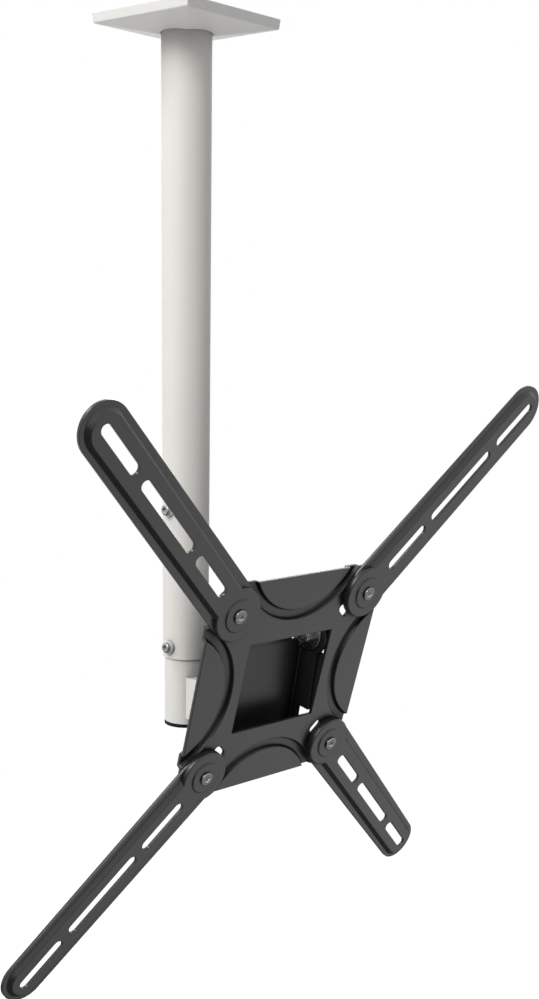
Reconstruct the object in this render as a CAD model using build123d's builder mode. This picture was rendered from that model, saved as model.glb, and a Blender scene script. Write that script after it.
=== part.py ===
from build123d import *
import os
from math import atan2, cos, degrees, radians, sin, sqrt

# Ceiling television mount. Millimetres, +Z up, the origin on the pole's axis at the ceiling,
# the screen side towards -Y. The head is posed turned by head_turn and tipped down by head_tilt.

# Pose of the head
head_turn = -5.0
head_tilt = 15.1

# Clearances
running = 0.06  # a shaft in its hole, on the radius
slip = 0.15  # the tubes in each other, on the radius
gap = 0.4  # sheets that pass each other
shaft_gap = 0.3  # a loose part round the pole, on the radius

# Pole
pole_r = 18.0
pole_wall = 1.15
pole_length = 457.8
drop_wall = 1.5
drop_r = pole_r - pole_wall - slip
drop_top = 30.0  # depth of the inner tube's top below the ceiling
drop_reach = 52.9  # how far the inner tube stands out of the outer one
drop_end = pole_length + drop_reach
cap_lip = 1.7
cap_plug = 12.0
cap_wall = 1.8

# Ceiling plate and its cover
cover_size = 93.3
cover_room = 5.65  # between the cover's rim and the ceiling plate
ceiling_size = cover_size - 2 * cover_room
ceiling_sheet = 4.0
ceiling_corner = 6.0
ceiling_margin = 11.0  # of the screw holes in the ceiling plate
ceiling_spacing = ceiling_size - 2 * ceiling_margin
ceiling_hole_r = 4.25
cover_draft = 0.8
cover_side = 6.8
cover_point = 10.0  # rise of the underside's shallow pyramid, up to its point
cover_cut = 3.5  # what is left off that point
cover_wall = 1.6
cover_corner = 2.5
cover_notch = 5.0

# Locking screws on the outer tube
lock_upper = 116.6  # measured from the outer tube's lower end
lock_lower = 9.3
lock_depths = {"upper": pole_length - lock_upper, "lower": pole_length - lock_lower}
lock_r = 2.5
lock_boss_r = 5.0
lock_boss_end = 20.4  # distance of the boss face from the pole's axis
lock_head_r = 4.0
lock_head = 2.9
lock_socket = 4.0
lock_socket_depth = 1.8
lock_edge = 0.6
lock_play = 0.1  # how far the screw's tip stands off the inner tube

# Bracket on the inner tube and the swivel bolt
swivel_reach = 42.0  # the bolt's distance in front of the pole's axis
bracket_drop = 14.2  # below the outer tube's end
bracket_top = pole_length + bracket_drop
bracket_height = 34.0
bracket_half = 10.8
swivel_r = 5.0
swivel_washer_r = 10.5
swivel_washer = 1.5
swivel_head_af = 16.0
swivel_head = 6.4
swivel_nut = 8.0

# Yoke
yoke_sheet = 3.0
yoke_tab_r = 13.0
yoke_neck_half = 16.0
yoke_room = 15.0  # from the swivel bolt's axis to the yoke's neck
yoke_shelf = 16.0
yoke_back_run = 10.0  # from the neck to where the cheeks start behind
yoke_front_run = 23.0
yoke_lug_r = 15.0
yoke_neck = swivel_reach + yoke_room
yoke_front = yoke_neck + yoke_shelf
yoke_rise_back = yoke_neck + yoke_back_run
yoke_rise_front = yoke_neck + yoke_front_run
ear_play = 0.6  # between the screen plate's ears and the yoke

# Screen plate, levels measured along its normal from the centres of the bolt heads
plate_ahead = 58.85  # of the yoke's neck
plate_rise = 14.06  # above the top of the pole's bracket
plate_reach = yoke_neck + plate_ahead
plate_depth = bracket_top - plate_rise
plate_size = 170.0
plate_corner = 20.0
plate_sheet = 2.5
web_level = -6.4
emboss = 2.9
emboss_slope = 1.5
pivot_offset = 65.0
dome_r = 53.0
dome_centre = 111.6
groove = 8.5
window_width = 83.0
window_height = 72.4
window_centre = -0.5
screen_offset = 50.0
screen_slot = 12.0
screen_slot_width = 6.5
ear_top = 13.0
ear_bottom = -34.0
ear_level = -18.0

# Tilt bracket behind the window, which leans a little against the plate. Its sizes are measured
# from the tilt axis, along its own panel and square to it.
tilt_v = 24.5
tilt_level = -25.5
bracket_lean = 5.2
bracket_sheet = 2.3
panel_face = -6.2
panel_bottom = -78.0
panel_corner = 3.0
cheek_front = 11.2
cheek_bottom = -60.0
strip_front = 1.0  # the cheeks go on downwards as a strip along the panel
cheek_lug_r = 17.5

# Tilt bolts
tilt_r = 4.0
tilt_spacer_r = 11.0
tilt_head_r = 7.0
tilt_head = 4.6
tilt_washer_r = 13.0
tilt_washer = 1.6
tilt_nut_af = 13.0
tilt_nut = 6.5
tilt_socket = 5.0
tilt_socket_depth = 2.4
washer_edge = 0.3

# Arms
arm_sheet = 2.2
arm_level = -0.6
arm_emboss = 3.2
pad_slope = 0.4
track_slope = 3.0
arm_length = 190.6  # from the pivot to the centre of the round end
arm_pad_r = 20.4
pad_edge = 1.5  # rounding of the pad's upper edge
arm_tip_r = 18.4
arm_track_half = 15.0
arm_slot_width = 8.0
arm_slots = [(25.6, 68.0), (76.0, 146.0), (154.5, 197.0)]
boss_r = 12.5
boss_height = 1.0
boss_slope = 0.6

# Pivot bolts
pivot_r = 3.0
pivot_head_r = 5.2
pivot_head = 1.6
pivot_socket = 4.0
pivot_socket_depth = 1.0
pivot_spacer_r = 9.0
pivot_nut_af = 10.0
pivot_nut = 5.0

bolt_end = 1.6  # thread standing out of a nut
head_round = 0.35  # share of a screw head's height that is rounded
nut_turning = 0.35  # how far a nut's corners are turned off

# Directions of the head: sideways, forward, and the screen plate's own up and normal
side = Vector(cos(radians(head_turn)), sin(radians(head_turn)), 0)
forward = Vector(sin(radians(head_turn)), -cos(radians(head_turn)), 0)
up = Vector(0, 0, 1)
plate_up = forward * sin(radians(head_tilt)) + up * cos(radians(head_tilt))
plate_normal = forward * cos(radians(head_tilt)) - up * sin(radians(head_tilt))
plate_centre = forward * plate_reach - up * plate_depth

# The tilt axis in the untilted head
tilt_point = plate_centre + plate_up * tilt_v + plate_normal * tilt_level
tilt_reach = tilt_point.dot(forward)
tilt_height = tilt_point.dot(up)

# Levels that follow from the sheets
base_level = web_level - emboss
base_back = base_level - plate_sheet
web_back = web_level - plate_sheet
back_step = plate_sheet * 0.6  # how far a formed step moves inwards on the back of the sheet
arm_rim = arm_level - arm_emboss
arm_under = arm_level - arm_sheet
arm_back = arm_rim - arm_sheet
arm_back_step = arm_sheet * 0.55
boss_top = arm_level + boss_height
boss_under = arm_under + boss_height

# Widths across the head
window_half = window_width / 2
ear_outside = window_half + plate_sheet
yoke_inside = ear_outside + ear_play
yoke_outside = yoke_inside + yoke_sheet
cheek_inside = window_half - bracket_sheet

# Heights at the swivel
bracket_bottom = bracket_top + bracket_height
tab_top = bracket_top - swivel_washer
tab_bottom = bracket_bottom + swivel_washer

arms = {"upper_left": (-1, 1), "upper_right": (1, 1), "lower_right": (1, -1), "lower_left": (-1, -1)}
sides = {"left": -1, "right": 1}


def head_plane(height):
    """Level plane of the head; its Y runs backwards."""
    return Plane(origin=up * height, x_dir=side, z_dir=up)


def head_side(offset):
    """Upright plane across the head: X forward, Y up, normal to the left."""
    return Plane(origin=side * offset, x_dir=forward, z_dir=side * -1)


def plate_plane(level):
    """Plane parallel to the screen plate at a level along its normal."""
    return Plane(origin=plate_centre + plate_normal * level, x_dir=side, z_dir=plate_normal)


def plate_side(offset):
    """Plane across the screen plate: X along its up, Y along its normal."""
    return Plane(origin=plate_centre + side * offset, x_dir=plate_up, z_dir=side)


def bracket_side(offset):
    """Plane across the tilt bracket: origin on the tilt axis, X up along its panel, Y forward."""
    lean = radians(bracket_lean)
    along = plate_up * cos(lean) - plate_normal * sin(lean)
    return Plane(origin=tilt_point + side * offset, x_dir=along, z_dir=side)


def arm_plane(corner, level):
    """Plane of an arm at a level: origin on its pivot, X along the arm."""
    across, rise = corner
    pivot = plate_centre + side * (across * pivot_offset) + plate_up * (rise * pivot_offset)
    along = (side * across + plate_up * rise) * sqrt(0.5)
    return Plane(origin=pivot + plate_normal * level, x_dir=along, z_dir=plate_normal)


def slope_angle(run, rise):
    return degrees(atan2(run, rise))


def save(piece, name):
    piece.label = name
    export_step(piece, f"parts/{name}.step")


def disc(plane, radius, height, bore=0.0, edge=0.0):
    """Washer, spacer or plain round piece standing on a plane."""
    with BuildPart() as piece:
        with BuildSketch(plane):
            Circle(radius)
            if bore:
                Circle(bore, mode=Mode.SUBTRACT)
        extrude(amount=height)
        if edge:
            rims = piece.edges().filter_by(GeomType.CIRCLE).sort_by(SortBy.RADIUS)[-2:]
            chamfer(rims, edge)
    return piece.part


def nut(plane, across_flats, height, bore):
    """Hexagon nut with its corners turned off on the far face."""
    corner = across_flats / sqrt(3)
    with BuildPart() as piece:
        with BuildSketch(plane):
            RegularPolygon(corner, 6)
            Circle(bore, mode=Mode.SUBTRACT)
        extrude(amount=height)
        with BuildSketch(plane):
            Circle(corner + height / 2)
        extrude(amount=height, taper=slope_angle(height / 2 + nut_turning, height), mode=Mode.INTERSECT)
    return piece.part


def bolt(plane, head_r, head, shank_r, length, socket=0.0, socket_depth=0.0, across_flats=0.0):
    """Bolt whose shank runs down from the plane and whose head stands on it."""
    with BuildPart() as piece:
        with BuildSketch(plane):
            if across_flats:
                RegularPolygon(across_flats / sqrt(3), 6)
            else:
                Circle(head_r)
        extrude(amount=head)
        if not across_flats:
            rim = piece.edges().filter_by(GeomType.CIRCLE).sort_by(Axis(plane.origin, plane.z_dir))[-1]
            fillet(rim, head * head_round)
        with BuildSketch(plane):
            Circle(shank_r)
        extrude(amount=-length)
        if socket:
            with BuildSketch(plane.offset(head)):
                RegularPolygon(socket / sqrt(3), 6)
            extrude(amount=-socket_depth, mode=Mode.SUBTRACT)
    return piece.part


def ceiling_plate():
    with BuildPart() as piece:
        with BuildSketch(Plane.XY.offset(-ceiling_sheet)):
            RectangleRounded(ceiling_size, ceiling_size, ceiling_corner)
            with GridLocations(ceiling_spacing, ceiling_spacing, 2, 2):
                Circle(ceiling_hole_r, mode=Mode.SUBTRACT)
        extrude(amount=ceiling_sheet)
    return piece.part


def cover_form(inset):
    """Solid form of the cover, moved inwards by a wall."""
    top = cover_size - 2 * inset
    low = top - 2 * cover_draft
    side_end = -cover_side + inset
    neck = low * (1 - (cover_point - cover_cut) / cover_point)
    with BuildPart() as form:
        with BuildSketch(Plane.XY):
            RectangleRounded(top, top, cover_corner)
        with BuildSketch(Plane.XY.offset(side_end)):
            RectangleRounded(low, low, cover_corner)
        loft(ruled=True)
        with BuildSketch(Plane.XY.offset(side_end)):
            RectangleRounded(low, low, cover_corner)
        with BuildSketch(Plane.XY.offset(side_end - cover_point + cover_cut)):
            RectangleRounded(neck, neck, cover_corner)
        loft(ruled=True)
    return form.part


def ceiling_cover():
    with BuildPart() as piece:
        add(cover_form(0))
        add(cover_form(cover_wall), mode=Mode.SUBTRACT)
        with BuildSketch(Plane.XY.offset(-cover_side - cover_point)):
            Circle(pole_r + shaft_gap)
        extrude(amount=cover_side + cover_point, mode=Mode.SUBTRACT)
        with BuildSketch(Plane.XY.offset(-cover_wall)):
            Rectangle(cover_notch, cover_size + 1)
            Rectangle(cover_size + 1, cover_notch)
        extrude(amount=cover_wall, mode=Mode.SUBTRACT)
    return piece.part


def outer_tube():
    with BuildPart() as piece:
        with BuildSketch(Plane.XY.offset(-pole_length)):
            Circle(pole_r)
            Circle(pole_r - pole_wall, mode=Mode.SUBTRACT)
        extrude(amount=pole_length - ceiling_sheet)
        for depth in lock_depths.values():
            with BuildSketch(lock_plane(depth, 0)):
                Circle(lock_boss_r + running)
            extrude(amount=2 * pole_r, mode=Mode.SUBTRACT)
    return piece.part


def lock_plane(depth, reach):
    """Plane across a locking screw, its normal out of the pole."""
    return Plane(origin=(-reach, 0, -depth), x_dir=(0, 1, 0), z_dir=(-1, 0, 0))


def lock_boss(depth):
    seat = pole_r - pole_wall + slip
    with BuildPart() as piece:
        with BuildSketch(lock_plane(depth, seat)):
            Circle(lock_boss_r)
            Circle(lock_r + running, mode=Mode.SUBTRACT)
        extrude(amount=lock_boss_end - seat)
        rim = piece.edges().filter_by(GeomType.CIRCLE).sort_by(Axis.X)[:2].sort_by(SortBy.RADIUS)[-1]
        fillet(rim, lock_edge)
    return piece.part


def lock_screw(depth):
    tip = drop_r + lock_play
    return bolt(
        lock_plane(depth, lock_boss_end),
        lock_head_r,
        lock_head,
        lock_r,
        lock_boss_end - tip,
        lock_socket,
        lock_socket_depth,
    )


def inner_tube():
    with BuildPart() as piece:
        with BuildSketch(Plane.XY.offset(-drop_end)):
            Circle(drop_r)
            Circle(drop_r - drop_wall, mode=Mode.SUBTRACT)
        extrude(amount=drop_end - drop_top)
    return piece.part


def end_cap():
    with BuildPart() as piece:
        with BuildSketch(Plane.XY.offset(-drop_end - cap_lip)):
            Circle(drop_r)
        extrude(amount=cap_lip)
        fillet(piece.edges().sort_by(Axis.Z)[0], cap_lip * 0.4)
        with BuildSketch(Plane.XY.offset(-drop_end)):
            Circle(drop_r - drop_wall)
            Circle(drop_r - drop_wall - cap_wall, mode=Mode.SUBTRACT)
        extrude(amount=cap_plug)
    return piece.part


def pole_bracket():
    """Lug welded to the inner tube, with the upright bore of the swivel bolt."""
    with BuildPart() as piece:
        with BuildSketch(head_plane(-bracket_bottom)):
            with Locations((0, -swivel_reach / 2)):
                Rectangle(2 * bracket_half, swivel_reach)
            with Locations((0, -swivel_reach)):
                Circle(bracket_half)
                Circle(swivel_r + running, mode=Mode.SUBTRACT)
        extrude(amount=bracket_height)
        with BuildSketch(head_plane(-bracket_bottom)):
            Circle(drop_r)
        extrude(amount=bracket_height, mode=Mode.SUBTRACT)
    return piece.part.solids().sort_by(Axis.Y)[0]


def yoke_cheek():
    """Side outline of a yoke cheek, in the plane of its inner face."""
    lug = (tilt_reach, tilt_height)
    with BuildSketch(head_side(0)) as outline:
        with Locations(lug):
            Circle(yoke_lug_r)
        with BuildLine():
            Polyline(
                (yoke_rise_back, -tab_top),
                (yoke_rise_front, -tab_top),
                (tilt_reach + yoke_lug_r * 0.8, tilt_height - yoke_lug_r * 0.6),
                (tilt_reach - yoke_lug_r * 0.6, tilt_height + yoke_lug_r * 0.8),
                (yoke_rise_back, -tab_top + 2 * yoke_sheet),
                close=True,
            )
        make_face()
        with Locations(lug):
            Circle(tilt_r + running, mode=Mode.SUBTRACT)
    return outline.sketch


def swivel_yoke():
    tabs = {tab_top: yoke_sheet, tab_bottom + yoke_sheet: yoke_sheet}
    with BuildPart() as piece:
        for depth, sheet in tabs.items():
            with BuildSketch(head_plane(-depth)):
                with Locations((0, -swivel_reach)):
                    Circle(yoke_tab_r)
                with BuildLine():
                    Polyline(
                        (-yoke_tab_r, -swivel_reach),
                        (yoke_tab_r, -swivel_reach),
                        (yoke_neck_half, -yoke_neck),
                        (yoke_neck_half, -yoke_neck - yoke_sheet),
                        (-yoke_neck_half, -yoke_neck - yoke_sheet),
                        (-yoke_neck_half, -yoke_neck),
                        close=True,
                    )
                make_face()
            extrude(amount=sheet)
        with BuildSketch(head_plane(-tab_top)):
            with BuildLine():
                Polyline(
                    (-yoke_neck_half, -yoke_neck),
                    (-yoke_outside, -yoke_rise_back),
                    (-yoke_outside, -yoke_front),
                    (yoke_outside, -yoke_front),
                    (yoke_outside, -yoke_rise_back),
                    (yoke_neck_half, -yoke_neck),
                    close=True,
                )
            make_face()
        extrude(amount=yoke_sheet)
        with BuildSketch(head_plane(-tab_bottom - yoke_sheet)):
            with Locations((0, -yoke_neck - yoke_sheet / 2)):
                Rectangle(2 * yoke_neck_half, yoke_sheet)
        extrude(amount=tab_bottom + yoke_sheet - tab_top)
        with BuildSketch(head_plane(-tab_bottom - yoke_sheet)):
            with Locations((0, -swivel_reach)):
                Circle(swivel_r + running)
        extrude(amount=tab_bottom - tab_top + 3 * yoke_sheet, mode=Mode.SUBTRACT)
        for start in (yoke_outside, -yoke_inside):
            with BuildSketch(head_side(start)):
                add(head_side(0).to_local_coords(yoke_cheek()))
            extrude(amount=yoke_sheet)
    return piece.part


def web_form(level, size, arc):
    """Raised field of the screen plate, with a round hollow from each edge."""
    with BuildPart() as form:
        with BuildSketch(Plane.XY.offset(level)):
            RectangleRounded(size, size, plate_corner)
        extrude(amount=emboss)
        with BuildSketch(Plane.XY.offset(level)):
            with PolarLocations(dome_centre, 4):
                Circle(arc)
        extrude(amount=emboss, taper=-slope_angle(emboss_slope, emboss), mode=Mode.SUBTRACT)
    return form.part


def dome_form(level, radius):
    """The four raised segments at the screen plate's edges, still whole discs."""
    with BuildPart() as form:
        with BuildSketch(Plane.XY.offset(level)):
            with PolarLocations(dome_centre, 4):
                Circle(radius)
        extrude(amount=emboss, taper=slope_angle(emboss_slope, emboss))
    return form.part


def screen_plate():
    """Formed plate, drawn flat with its normal upwards and then put in its place."""
    web_arc = dome_r + groove - emboss_slope
    dome_foot = dome_r + emboss_slope
    cut_size = plate_size + 2 * emboss
    with BuildPart() as piece:
        add(dome_form(base_level, dome_foot))
        with BuildSketch(Plane.XY.offset(base_back)):
            RectangleRounded(plate_size, plate_size, plate_corner)
        extrude(amount=plate_sheet + emboss, mode=Mode.INTERSECT)
        add(web_form(base_level, plate_size, web_arc))
        with BuildSketch(Plane.XY.offset(base_back)):
            RectangleRounded(plate_size, plate_size, plate_corner)
        extrude(amount=plate_sheet)
        add(dome_form(base_back, dome_foot - back_step), mode=Mode.SUBTRACT)
        add(web_form(base_back, cut_size, web_arc + back_step), mode=Mode.SUBTRACT)
        for turn in sides.values():
            ear_middle = turn * (window_half + plate_sheet / 2)
            with BuildSketch(Plane.XY.offset(ear_level)):
                with Locations((ear_middle, (ear_top + ear_bottom) / 2)):
                    Rectangle(plate_sheet, ear_top - ear_bottom)
            extrude(amount=web_level - ear_level)
        with BuildSketch(Plane.XY.offset(base_back)):
            with Locations((0, window_centre)):
                Rectangle(window_width, window_height)
            for across, rise in arms.values():
                with Locations((across * screen_offset, rise * screen_offset)):
                    SlotOverall(screen_slot, screen_slot_width, rotation=-45 * across * rise)
                with Locations((across * pivot_offset, rise * pivot_offset)):
                    Circle(pivot_r + running)
        extrude(amount=plate_sheet + emboss, mode=Mode.SUBTRACT)
    return piece.part.moved(plate_plane(0).location)


def bracket_cheek():
    """Side outline of the tilt bracket's cheeks."""
    panel_back = panel_face - bracket_sheet
    with BuildSketch(Plane.XY) as outline:
        with BuildLine():
            Polyline(
                (panel_bottom, panel_back),
                (0, panel_back),
                (0, cheek_front),
                (cheek_bottom, cheek_front),
                (cheek_bottom, strip_front),
                (panel_bottom, strip_front),
                close=True,
            )
        make_face()
        Circle(cheek_lug_r)
        Circle(tilt_r + running, mode=Mode.SUBTRACT)
    return outline.sketch


def tilt_bracket():
    """Folded box behind the window: a back panel and two cheeks with the lugs of the tilt bolts."""
    panel_back = panel_face - bracket_sheet
    shoulder = -(tilt_washer_r + gap)
    head_half = cheek_inside - tilt_washer - gap
    panel_head = -tilt_nut_af / 2
    with BuildPart() as piece:
        for turn in sides.values():
            with BuildSketch(bracket_side(min(turn * cheek_inside, turn * window_half))):
                add(bracket_cheek())
            extrude(amount=bracket_sheet)
        with BuildSketch(bracket_side(-window_half)):
            with Locations(((panel_bottom + shoulder) / 2, (panel_face + panel_back) / 2)):
                Rectangle(shoulder - panel_bottom, bracket_sheet)
        extrude(amount=window_width)
        with BuildSketch(bracket_side(-head_half)):
            with Locations(((shoulder + panel_head) / 2, (panel_face + panel_back) / 2)):
                Rectangle(panel_head - shoulder, bracket_sheet)
        extrude(amount=2 * head_half)
        upper = piece.edges().filter_by(lambda edge: abs(edge.length - bracket_sheet) < 0.01)
        upper = upper.filter_by(Axis(tilt_point, bracket_side(0).y_dir))
        upper = sorted(upper, key=lambda edge: (edge.center() - tilt_point).dot(bracket_side(0).x_dir))
        fillet(upper[-2:], panel_corner)
    return piece.part


def pivot_parts(corner):
    nut_level = web_back - pivot_nut
    head = arm_plane(corner, boss_top)
    length = boss_top - nut_level + bolt_end
    screw = bolt(head, pivot_head_r, pivot_head, pivot_r, length, pivot_socket, pivot_socket_depth)
    spacer = disc(
        arm_plane(corner, web_level), pivot_spacer_r, boss_under - web_level, pivot_r + running
    )
    lock = nut(flipped(arm_plane(corner, web_back)), pivot_nut_af, pivot_nut, pivot_r + running)
    return screw, spacer, lock


def flipped(plane):
    return Plane(origin=plane.origin, x_dir=plane.x_dir, z_dir=plane.z_dir * -1)


def arm_form(corner, level, inset):
    """Raised field of an arm, drawn in by an inset: the round pad and the track with the slots."""
    with BuildPart() as form:
        with BuildSketch(arm_plane(corner, level)):
            Circle(arm_pad_r - inset)
        extrude(amount=arm_emboss, taper=slope_angle(pad_slope, arm_emboss))
        fillet(form.edges().sort_by(Axis(form.part.center(), plate_normal))[-1], pad_edge)
        with BuildSketch(arm_plane(corner, level)):
            with Locations((arm_length / 2, 0)):
                SlotCenterToCenter(arm_length, 2 * (arm_track_half - inset))
        extrude(amount=arm_emboss, taper=slope_angle(track_slope, arm_emboss))
    return form.part


def arm(corner):
    with BuildPart() as piece:
        with BuildSketch(arm_plane(corner, arm_back)):
            Circle(arm_pad_r)
            with Locations((arm_length, 0)):
                Circle(arm_tip_r)
            make_hull()
        extrude(amount=arm_sheet)
        add(arm_form(corner, arm_rim, 0))
        with BuildSketch(arm_plane(corner, arm_level)):
            Circle(boss_r)
        extrude(amount=boss_height, taper=slope_angle(boss_slope, boss_height))
        add(arm_form(corner, arm_back, arm_back_step), mode=Mode.SUBTRACT)
        with BuildSketch(arm_plane(corner, arm_under)):
            Circle(boss_r - arm_back_step)
        extrude(amount=boss_height, mode=Mode.SUBTRACT)
        with BuildSketch(arm_plane(corner, arm_back)):
            Circle(pivot_r + running)
            for start, end in arm_slots:
                with Locations(((start + end) / 2, 0)):
                    SlotOverall(end - start, arm_slot_width)
        extrude(amount=boss_top - arm_back, mode=Mode.SUBTRACT)
    return piece.part


def side_plane_out(turn, distance):
    """Plane on the tilt axis at a distance to one side, its normal outwards."""
    return Plane(origin=tilt_point + side * (turn * distance), x_dir=up, z_dir=side * turn)


def tilt_parts(turn):
    seat = cheek_inside - tilt_washer
    length = yoke_outside - seat + tilt_nut + bolt_end
    outer = side_plane_out(turn, yoke_outside)
    screw = bolt(outer, tilt_head_r, tilt_head, tilt_r, length, tilt_socket, tilt_socket_depth)
    spacer = disc(
        side_plane_out(turn, window_half), tilt_spacer_r, yoke_inside - window_half, tilt_r + running
    )
    washer = disc(side_plane_out(turn, seat), tilt_washer_r, tilt_washer, tilt_r + running, washer_edge)
    lock = nut(flipped(side_plane_out(turn, seat)), tilt_nut_af, tilt_nut, tilt_r + running)
    return screw, spacer, washer, lock


def swivel_parts():
    def across(height):
        base = head_plane(height)
        return Plane(origin=base.origin + forward * swivel_reach, x_dir=base.x_dir, z_dir=base.z_dir)

    top = -tab_top + yoke_sheet
    bottom = -tab_bottom - yoke_sheet
    bore = swivel_r + running
    length = top - bottom + swivel_nut + bolt_end
    screw = bolt(across(top), 0, swivel_head, swivel_r, length, across_flats=swivel_head_af)
    upper = disc(across(-bracket_top), swivel_washer_r, swivel_washer, bore)
    lower = disc(across(-tab_bottom), swivel_washer_r, swivel_washer, bore)
    lock = nut(flipped(across(bottom)), swivel_head_af, swivel_nut, bore)
    return screw, upper, lower, lock


os.makedirs("parts", exist_ok=True)

save(ceiling_plate(), "ceiling_plate")
save(ceiling_cover(), "ceiling_cover")
save(outer_tube(), "outer_tube")
for name, depth in lock_depths.items():
    save(lock_boss(depth), f"lock_boss_{name}")
    save(lock_screw(depth), f"lock_screw_{name}")
save(inner_tube(), "inner_tube")
save(end_cap(), "end_cap")
save(pole_bracket(), "pole_bracket")

save(swivel_yoke(), "swivel_yoke")
for piece, name in zip(swivel_parts(), ("bolt", "washer_upper", "washer_lower", "nut")):
    save(piece, f"swivel_{name}")

save(screen_plate(), "screen_plate")
save(tilt_bracket(), "tilt_bracket")
for name, turn in sides.items():
    for piece, kind in zip(tilt_parts(turn), ("bolt", "spacer", "washer", "nut")):
        save(piece, f"tilt_{kind}_{name}")

for name, corner in arms.items():
    save(arm(corner), f"arm_{name}")
    for piece, kind in zip(pivot_parts(corner), ("bolt", "spacer", "nut")):
        save(piece, f"pivot_{kind}_{name}")
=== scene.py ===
from math import cos, radians, sin

import bmesh
import bpy
from mathutils import Matrix, Vector


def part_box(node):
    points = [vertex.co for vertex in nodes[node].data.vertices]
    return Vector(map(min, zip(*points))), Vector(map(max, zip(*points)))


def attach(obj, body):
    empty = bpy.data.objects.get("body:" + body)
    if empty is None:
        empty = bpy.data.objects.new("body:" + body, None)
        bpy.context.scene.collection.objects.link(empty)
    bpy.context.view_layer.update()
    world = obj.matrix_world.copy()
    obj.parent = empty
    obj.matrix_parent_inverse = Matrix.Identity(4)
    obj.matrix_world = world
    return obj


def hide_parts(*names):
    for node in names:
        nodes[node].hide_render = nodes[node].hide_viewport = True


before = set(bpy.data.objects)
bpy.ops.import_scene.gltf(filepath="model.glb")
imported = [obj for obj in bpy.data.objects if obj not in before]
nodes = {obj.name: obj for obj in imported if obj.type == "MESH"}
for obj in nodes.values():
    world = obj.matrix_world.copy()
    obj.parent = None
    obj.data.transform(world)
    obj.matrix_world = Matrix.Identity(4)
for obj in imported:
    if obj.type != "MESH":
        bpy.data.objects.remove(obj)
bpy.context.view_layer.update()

scene = bpy.context.scene
mm = 0.001
print("frame loaded with", len(nodes), "nodes")


# one shader socket, so that shader maths reads as an expression
class Wire:
    def __init__(self, graph, socket):
        self.graph = graph
        self.socket = socket

    def maths(self, operation, first, second):
        return self.graph.add("Math", {"operation": operation}, {0: first, 1: second})

    def __add__(self, other):
        return self.maths("ADD", self, other)

    def __mul__(self, other):
        return self.maths("MULTIPLY", self, other)

    def __rsub__(self, other):
        return self.maths("SUBTRACT", other, self)

    __radd__ = __add__
    __rmul__ = __mul__


# the nodes of one material or of the world
class Graph:
    def __init__(self, tree):
        self.tree = tree
        tree.nodes.clear()

    # without an output it gives the node itself, for nodes with several
    def add(self, kind, settings=None, inputs=None, output=0):
        node = self.tree.nodes.new("ShaderNode" + kind)
        for name, value in (settings or {}).items():
            if name == "stops":
                self.setStops(node.color_ramp, value)
            else:
                setattr(node, name, value)
        for name, value in (inputs or {}).items():
            if isinstance(value, Wire):
                self.tree.links.new(value.socket, node.inputs[name])
            else:
                node.inputs[name].default_value = value
        return node if output is None or not node.outputs else Wire(self, node.outputs[output])

    def setStops(self, ramp, stops):
        while len(ramp.elements) < len(stops):
            ramp.elements.new(1.0)
        for element, (place, level) in zip(ramp.elements, stops):
            element.position = place
            element.color = (level, level, level, 1)

    # sockets 6, 7 and 2 are the colours of a Mix node
    def mixColour(self, factor, first, second):
        return self.add("Mix", {"data_type": "RGBA"}, {0: factor, 6: first, 7: second}, 2)

    def noise(self, scale, detail, roughness, stretch=(1, 1, 1)):
        place = self.add("TexCoord", output="Object")
        stretched = self.add("Mapping", {}, {"Vector": place, "Scale": stretch})
        return self.add("TexNoise", {}, {"Vector": stretched, "Scale": scale, "Detail": detail,
                                         "Roughness": roughness})

    def ease(self, value, start, end):
        return self.add("MapRange", {"interpolation_type": "SMOOTHSTEP"},
                        {"Value": value, "From Min": start, "From Max": end})

    def ramp(self, factor, stops):
        return self.add("ValToRGB", {"stops": stops}, {0: factor})


greenShare = 0.3  # how much of a warm tint the green gives up, next to the blue


def grey(value, warm=0.0):
    return (value, value * (1 - greenShare * warm), value * (1 - warm), 1)


def newMaterial(name):
    material = bpy.data.materials.new(name)
    material.use_nodes = True
    return material, Graph(material.node_tree)


def finishMaterial(graph, shader):
    graph.add("OutputMaterial", {}, {"Surface": shader})


# what paint and plating share: rounded edges, a fine bump, and gloss that varies with a pattern
surfaceLook = dict(edgeSamples=6, patternLow=0.3, patternHigh=0.7)


def softEdge(graph, look):
    return graph.add("Bevel", {"samples": surfaceLook["edgeSamples"]}, {"Radius": look["edge"] * mm})


def fineBump(graph, look, pattern, soft):
    return graph.add("Bump", {}, {"Strength": look["bump"], "Distance": look["depth"] * mm,
                                  "Height": pattern, "Normal": soft})


def unevenGloss(graph, look, pattern, spread):
    return graph.ramp(pattern, [(surfaceLook["patternLow"], look["roughness"] - spread),
                                (surfaceLook["patternHigh"], look["roughness"] + spread)])


# painted and moulded surfaces: grain, faint mottling, and painted shade that darkens them where another
# surface is close
# Grain and cloud are a noise's detail and roughness.
paintLook = dict(grain=(3.0, 0.55), cloud=(4.0, 0.6), cloudLow=0.35, cloudHigh=0.65, spread=0.04,
                 shadeSamples=8, shadeOpen=0.95, shadeShut=0.4, shadeLevel=0.4)


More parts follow.
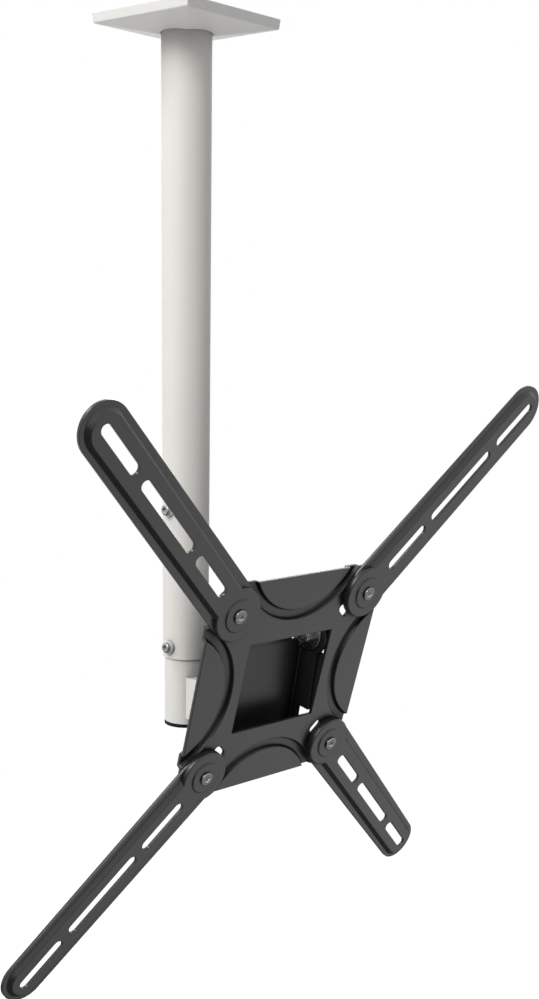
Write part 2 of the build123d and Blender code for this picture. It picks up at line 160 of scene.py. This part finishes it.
def paint(name, look):
    material, graph = newMaterial(name)
    grain = graph.noise(look["grainScale"], *paintLook["grain"])
    cloud = graph.noise(look["cloudScale"], *paintLook["cloud"])
    patches = graph.ramp(cloud, [(paintLook["cloudLow"], 0.0), (paintLook["cloudHigh"], 1.0)])
    dark = grey(look["colour"] * (1 - look["mottle"]), look["warm"])
    light = grey(look["colour"] * (1 + look["mottle"]), look["warm"])
    shader = graph.add("BsdfPrincipled", {}, {
        "Base Color": graph.mixColour(patches, dark, light),
        "Roughness": unevenGloss(graph, look, grain, paintLook["spread"]),
        "Normal": fineBump(graph, look, grain, softEdge(graph, look)),
        "Specular IOR Level": look["specular"]})
    # painted shade: where other surfaces are close, ambient occlusion mixes in a darker diffuse shader
    if look["paintedShade"]:
        near = graph.add("AmbientOcclusion", {"samples": paintLook["shadeSamples"]},
                         {"Distance": look["reach"] * mm}, "AO")
        depth = graph.ease(near, paintLook["shadeOpen"], paintLook["shadeShut"]) * look["paintedShade"]
        shadeShader = graph.add("BsdfDiffuse", {}, {"Color": grey(look["colour"] * paintLook["shadeLevel"])})
        shader = graph.add("MixShader", {}, {0: depth, 1: shader, 2: shadeShader})
    finishMaterial(graph, shader)
    return material


# zinc plating: fine turning marks, a bluish and straw tint here and there, and a painted highlight that
# makes the edges brighter
# Cloud and marks are a noise's detail and roughness.
zincLook = dict(cloud=(3.0, 0.5), marks=(2.0, 0.5), markStretch=(1, 1, 9), spread=0.06, rimTurn=0.08)


def zinc(name, look):
    material, graph = newMaterial(name)
    cloud = graph.noise(look["cloudScale"], *zincLook["cloud"])
    marks = graph.noise(look["markScale"], *zincLook["marks"], zincLook["markStretch"])
    plating = graph.mixColour(cloud, look["cool"], look["straw"])
    soft = softEdge(graph, look)
    # painted highlight: where the softened normal turns away from the true one, at edges, the colour goes
    # to a lighter grey
    flat = graph.add("NewGeometry", output="Normal")
    turned = 1 - graph.add("VectorMath", {"operation": "DOT_PRODUCT"}, {0: soft, 1: flat}, "Value")
    rim = graph.ease(turned, 0.0, zincLook["rimTurn"])
    shader = graph.add("BsdfPrincipled", {}, {
        "Base Color": graph.mixColour(rim, plating, grey(look["rim"])),
        "Metallic": 1.0,
        "Roughness": unevenGloss(graph, look, cloud, zincLook["spread"]),
        "Normal": fineBump(graph, look, marks, soft)})
    finishMaterial(graph, shader)
    return material


# edge, reach and depth are in millimetres
# painted shade on the white steel: it darkens the pole below the cover, where the cover's shadow falls
whiteSteel = paint("whiteSteel", dict(
    colour=0.80, warm=0.08, mottle=0.012, cloudScale=9, grainScale=1500, bump=0.12, depth=0.06,
    roughness=0.42, specular=0.4, edge=0.35, paintedShade=0.9, reach=90))
whiteCover = paint("whiteCover", dict(
    colour=0.81, warm=0.04, mottle=0.01, cloudScale=14, grainScale=2600, bump=0.08, depth=0.04,
    roughness=0.48, specular=0.4, edge=0.5, paintedShade=0))
# painted shade on the black finishes: their grooves, folds and the gaps between parts go near black
blackSteel = paint("blackSteel", dict(
    colour=0.014, warm=0.0, mottle=0.08, cloudScale=30, grainScale=1300, bump=0.10, depth=0.05,
    roughness=0.30, specular=0.66, edge=1.0, paintedShade=0.5, reach=5))
blackPlate = paint("blackPlate", dict(
    colour=0.014, warm=0.0, mottle=0.08, cloudScale=22, grainScale=1300, bump=0.10, depth=0.05,
    roughness=0.30, specular=0.66, edge=1.2, paintedShade=0.75, reach=18))
blackBracket = paint("blackBracket", dict(
    colour=0.010, warm=0.0, mottle=0.08, cloudScale=22, grainScale=1300, bump=0.10, depth=0.05,
    roughness=0.33, specular=0.5, edge=0.7, paintedShade=0.7, reach=14))
blackPlastic = paint("blackPlastic", dict(
    colour=0.010, warm=0.0, mottle=0.1, cloudScale=40, grainScale=2200, bump=0.1, depth=0.04,
    roughness=0.5, specular=0.12, edge=0.3, paintedShade=0))
brightZinc = zinc("brightZinc", dict(
    cool=(0.62, 0.64, 0.67, 1), straw=(0.66, 0.65, 0.60, 1), cloudScale=160, markScale=900,
    bump=0.15, depth=0.03, roughness=0.3, edge=0.3, rim=0.75))
darkZinc = zinc("darkZinc", dict(
    cool=(0.13, 0.134, 0.14, 1), straw=(0.17, 0.167, 0.158, 1), cloudScale=220, markScale=900,
    bump=0.12, depth=0.03, roughness=0.27, edge=0.9, rim=0.85))
screwZinc = zinc("screwZinc", dict(
    cool=(0.34, 0.345, 0.355, 1), straw=(0.40, 0.395, 0.375, 1), cloudScale=220, markScale=900,
    bump=0.12, depth=0.03, roughness=0.3, edge=0.35, rim=0.6))
rawSteel = zinc("rawSteel", dict(
    cool=(0.50, 0.51, 0.53, 1), straw=(0.54, 0.53, 0.50, 1), cloudScale=40, markScale=500,
    bump=0.15, depth=0.03, roughness=0.4, edge=0.3, rim=0.6))

# finish of each node, by how its name starts
finishes = {
    "ceiling_plate": rawSteel, "ceiling_cover": whiteCover, "outer_tube": whiteSteel,
    "lock_boss": whiteSteel, "lock_screw": screwZinc, "inner_tube": whiteSteel,
    "end_cap": blackPlastic, "pole_bracket": whiteSteel, "swivel_yoke": blackSteel,
    "swivel_bolt": brightZinc, "swivel_washer": blackPlastic, "swivel_nut": brightZinc,
    "screen_plate": blackPlate, "tilt_bracket": blackBracket, "tilt_bolt": screwZinc,
    "tilt_spacer": blackPlastic, "tilt_washer": screwZinc, "tilt_nut": brightZinc,
    "arm": blackSteel, "pivot_bolt": darkZinc, "pivot_spacer": blackPlastic,
    "pivot_nut": brightZinc,
}

for name, node in nodes.items():
    node.data.materials.clear()
    node.data.materials.append(next(finishes[start] for start in finishes if name.startswith(start)))
print("finishes set")


# middle of a node's box, in millimetres
def middleOf(name):
    low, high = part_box(name)
    return (low + high) / (2 * mm)


# The panel behind the window hangs on the tilt bolts' axis, which runs through their nuts. A bolt's
# own box is off the axis, because its head is at one end. The panel is tipped down with the screen
# plate, and leans back a little against it. Both angles are in degrees.
panelLook = dict(tilt=15.1, lean=5.2)


def panelFrame(look):
    left, right = middleOf("tilt_nut_left"), middleOf("tilt_nut_right")
    tipped = radians(look["tilt"] - look["lean"])
    side = (right - left).normalized()
    above = Vector((0, 0, 1))
    forward = side.cross(above)
    rise = forward * sin(tipped) + above * cos(tipped)
    ahead = forward * cos(tipped) - above * sin(tipped)
    return (left + right) / 2, side, rise, ahead


axisPoint, side, panelRise, panelAhead = panelFrame(panelLook)


def placeOf(origin, *directions):
    matrix = Matrix(directions).transposed().to_4x4()
    matrix.translation = origin
    return Matrix.Scale(mm, 4) @ matrix


smoothAngle = 40  # degrees between two faces, past which the edge stays sharp


# makes one piece: the form is drawn in millimetres, then placed in the mesh
def makePiece(name, body, material, form, place):
    bmesh.ops.transform(form, matrix=place, verts=form.verts)
    bmesh.ops.recalc_face_normals(form, faces=form.faces)
    mesh = bpy.data.meshes.new(name)
    form.to_mesh(mesh)
    form.free()
    mesh.shade_smooth()
    mesh.set_sharp_from_angle(angle=radians(smoothAngle))
    mesh.materials.append(material)
    piece = bpy.data.objects.new(name, mesh)
    scene.collection.objects.link(piece)
    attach(piece, body)
    return piece


# the cover as a moulded shell: rings from its upper rim down the side and over the shallow pyramid
# to the hole for the pole, then back up inside, each bridged to the next
coverLook = dict(draft=0.8, side=6.8, point=7.4, gap=0.3, wall=1.6, points=64, bevel=0.9,
                 bevelSteps=3, bevelAngle=35)


def makeCover(look):
    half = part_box("ceiling_cover")[1].x / mm
    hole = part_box("outer_tube")[1].x / mm + look["gap"]
    low = half - look["draft"]
    form = bmesh.new()

    def addRing(shape):
        before = len(form.edges)
        made = bmesh.ops.create_circle(form, segments=look["points"], radius=1.0)
        for vert in made["verts"]:
            vert.co = shape(vert.co)
        return list(form.edges)[before:]

    def squareRing(out, height):
        return addRing(lambda spot: spot * out / max(abs(spot.x), abs(spot.y)) + Vector((0, 0, height)))

    def holeRing(lift):
        def shape(spot):
            share = 1 - hole * max(abs(spot.x), abs(spot.y)) / low
            return spot * hole + Vector((0, 0, lift - look["side"] - look["point"] * share))
        return addRing(shape)

    rings = [squareRing(half, 0), squareRing(low, -look["side"]), holeRing(0),
             holeRing(look["wall"]), squareRing(low - look["wall"], look["wall"] - look["side"]),
             squareRing(half - look["wall"], 0)]
    for first, second in zip(rings, rings[1:] + rings[:1]):
        bmesh.ops.bridge_loops(form, edges=first + second)
    cover = makePiece("coverShell", "cover", whiteCover, form, Matrix.Scale(mm, 4))
    cover.data.shade_flat()
    soften = cover.modifiers.new("edges", "BEVEL")
    soften.width = look["bevel"] * mm
    soften.segments = look["bevelSteps"]
    soften.limit_method = "ANGLE"
    soften.angle_limit = radians(look["bevelAngle"])
    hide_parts("ceiling_cover")


makeCover(coverLook)
print("cover made")


# rolled upper edge of the panel behind the window
lipLook = dict(half=28.6, start=-7.6, end=-3.2, back=-8.5, front=-6.2, bevel=0.7, bevelSteps=3)


def makeLip(look):
    low = Vector((-look["half"], look["start"], look["back"]))
    high = Vector((look["half"], look["end"], look["front"]))
    form = bmesh.new()
    bmesh.ops.create_cube(form, size=1.0)
    bmesh.ops.scale(form, vec=high - low, verts=form.verts)
    bmesh.ops.translate(form, vec=(high + low) / 2, verts=form.verts)
    bmesh.ops.bevel(form, geom=form.edges[:], offset=look["bevel"], segments=look["bevelSteps"],
                    profile=0.5, affect="EDGES", material=-1)
    place = placeOf(axisPoint, side, panelRise, panelAhead)
    makePiece("panelLip", "screen_side", blackBracket, form, place)


makeLip(lipLook)

# rounded folds between the panel and its two cheeks
foldLook = dict(across=38.9, level=-5.95, low=-77.0, high=-14.2, radius=0.6, points=12)


def makeFold(name, look, turn):
    form = bmesh.new()
    bmesh.ops.create_cone(form, cap_ends=True, segments=look["points"], radius1=look["radius"],
                          radius2=look["radius"], depth=look["high"] - look["low"])
    middle = (look["high"] + look["low"]) / 2
    spot = axisPoint + side * (turn * look["across"]) + panelAhead * look["level"] + panelRise * middle
    makePiece(name, "screen_side", blackSteel, form, placeOf(spot, side, panelAhead, panelRise))


makeFold("foldLeft", foldLook, -1)
makeFold("foldRight", foldLook, 1)
print("head details made")


# the end cap's rim, a little wider than the tube and proud of its end
rimLook = dict(proud=0.3, drop=1.1, rise=0.5, points=48)


def makeRim(look):
    low, high = (Vector(corner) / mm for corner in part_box("end_cap"))
    middle = (low + high) / 2
    radius = (high.x - low.x) / 2 + look["proud"]
    form = bmesh.new()
    bmesh.ops.create_cone(form, cap_ends=True, segments=look["points"], radius1=radius, radius2=radius,
                          depth=look["drop"] + look["rise"])
    lift = low.z + (look["rise"] - look["drop"]) / 2
    bmesh.ops.translate(form, verts=form.verts, vec=(middle.x, middle.y, lift))
    makePiece("capRim", "drop_pole", blackPlastic, form, Matrix.Scale(mm, 4))


makeRim(rimLook)
print("cap rim made")


# Pale floor, far enough below a hanging mount, that turns into the white backdrop towards its rim.
# In reflections it is dark, apart from a white card in front of the screen side and one behind.
floorLook = dict(level=-1.45, radius=40.0, points=96, colour=0.8, lift=0.58, near=1.4, far=3.0,
                 dim=0.08, cardBack=-0.1, cardFront=-0.65, cardLeft=-0.9, cardRight=0.2,
                 rearStart=1.2, rearEnd=2.2)


def rayMask(graph, *kinds):
    ways = [graph.add("LightPath", output="Is " + kind + " Ray") for kind in kinds]
    return graph.add("Math", {"operation": "MINIMUM"}, {0: sum(ways[1:], ways[0]), 1: 1.0})


def floorMaterial(look):
    material, graph = newMaterial("paleFloor")
    place = graph.add("TexCoord", output="Object")
    parts = graph.add("SeparateXYZ", {}, {0: place}, None).outputs
    across, along = Wire(graph, parts["X"]), Wire(graph, parts["Y"])
    away = graph.add("VectorMath", {"operation": "LENGTH"}, {0: place}, "Value")
    card = graph.ease(along, look["cardBack"], look["cardFront"]) * graph.ease(
        across, look["cardLeft"], look["cardRight"])
    rear = graph.ease(along, look["rearStart"], look["rearEnd"])
    base = graph.add("BsdfDiffuse", {}, {"Color": grey(look["colour"])})
    lift = graph.add("Emission", {}, {"Strength": look["lift"]})
    shown = graph.add("AddShader", {}, {0: base, 1: lift})
    plain = graph.add("Emission", {}, {"Strength": 1.0})
    mirrored = graph.add("Emission", {}, {"Strength": look["dim"] + (card + rear) * (1 - look["dim"])})
    seen = graph.add("MixShader", {}, {0: graph.ease(away, look["near"], look["far"]), 1: shown, 2: plain})
    lit = graph.add("MixShader", {}, {0: rayMask(graph, "Camera", "Transmission"), 1: base, 2: seen})
    shader = graph.add("MixShader", {}, {0: rayMask(graph, "Glossy"), 1: lit, 2: mirrored})
    finishMaterial(graph, shader)
    return material


def makeFloor(look):
    mesh = bpy.data.meshes.new("floor")
    form = bmesh.new()
    bmesh.ops.create_circle(form, cap_ends=True, segments=look["points"], radius=look["radius"])
    bmesh.ops.translate(form, verts=form.verts, vec=(0, 0, look["level"]))
    form.to_mesh(mesh)
    form.free()
    mesh.materials.append(floorMaterial(look))
    floor = bpy.data.objects.new("floor", mesh)
    scene.collection.objects.link(floor)


# white surroundings to the eye and in reflections, a plain level as light
worldLook = dict(ambient=0.27)


def makeWorld(look):
    world = bpy.data.worlds.new("studio")
    scene.world = world
    world.use_nodes = True
    graph = Graph(world.node_tree)
    mask = rayMask(graph, "Camera", "Glossy", "Transmission")
    strength = mask + (1 - mask) * look["ambient"]
    shader = graph.add("Background", {}, {"Color": (1, 1, 1, 1), "Strength": strength})
    graph.add("OutputWorld", {}, {"Surface": shader})


# places, aims and sizes in metres, power in watts
lampLooks = {
    "softKey": dict(place=(-3.2, -0.5, 2.3), aim=(0, 0, -0.35), size=2.4, power=114),
    "topSoft": dict(place=(-1.0, 1.0, 1.7), aim=(0, -0.1, -0.45), size=0.6, power=17),
    "backFill": dict(place=(2.3, 2.3, 0.9), aim=(0, 0, -0.35), size=2.0, power=42),
}


def makeLamp(name, look):
    data = bpy.data.lights.new(name, "AREA")
    data.shape = "DISK"
    data.size = look["size"]
    data.energy = look["power"]
    lamp = bpy.data.objects.new(name, data)
    scene.collection.objects.link(lamp)
    place = Vector(look["place"])
    lamp.location = place
    lamp.rotation_euler = (place - Vector(look["aim"])).to_track_quat("Z", "Y").to_euler()


# the camera: below the ceiling, to the left of the screen, looking down a little
# Its place is in millimetres, its angles in degrees, and what it clips in metres.
cameraLook = dict(place=(-732.8, -722.3, -201.5), yaw=49.18, down=16.73, roll=1.17, lens=47.9,
                  sensor=36.0, shift=0.2202, nearest=0.01, farthest=200)


def makeCamera(look):
    yaw, down, roll = (radians(look[key]) for key in ("yaw", "down", "roll"))
    ahead = Vector((sin(yaw) * cos(down), cos(yaw) * cos(down), -sin(down)))
    level = Vector((cos(yaw), -sin(yaw), 0))
    rise = level.cross(ahead)
    right = level * cos(roll) + rise * sin(roll)
    above = rise * cos(roll) - level * sin(roll)
    data = bpy.data.cameras.new("camera")
    data.sensor_width = look["sensor"]
    data.lens = look["lens"]
    data.shift_y = look["shift"]
    data.clip_start = look["nearest"]
    data.clip_end = look["farthest"]
    camera = bpy.data.objects.new("camera", data)
    scene.collection.objects.link(camera)
    turned = Matrix((right, above, -ahead)).transposed().to_4x4()
    camera.matrix_world = Matrix.Translation(Vector(look["place"]) * mm) @ turned
    scene.camera = camera


makeFloor(floorLook)
makeWorld(worldLook)
for name, look in lampLooks.items():
    makeLamp(name, look)
makeCamera(cameraLook)
scene.view_settings.view_transform = "Standard"
print("stage, lamps and camera set")
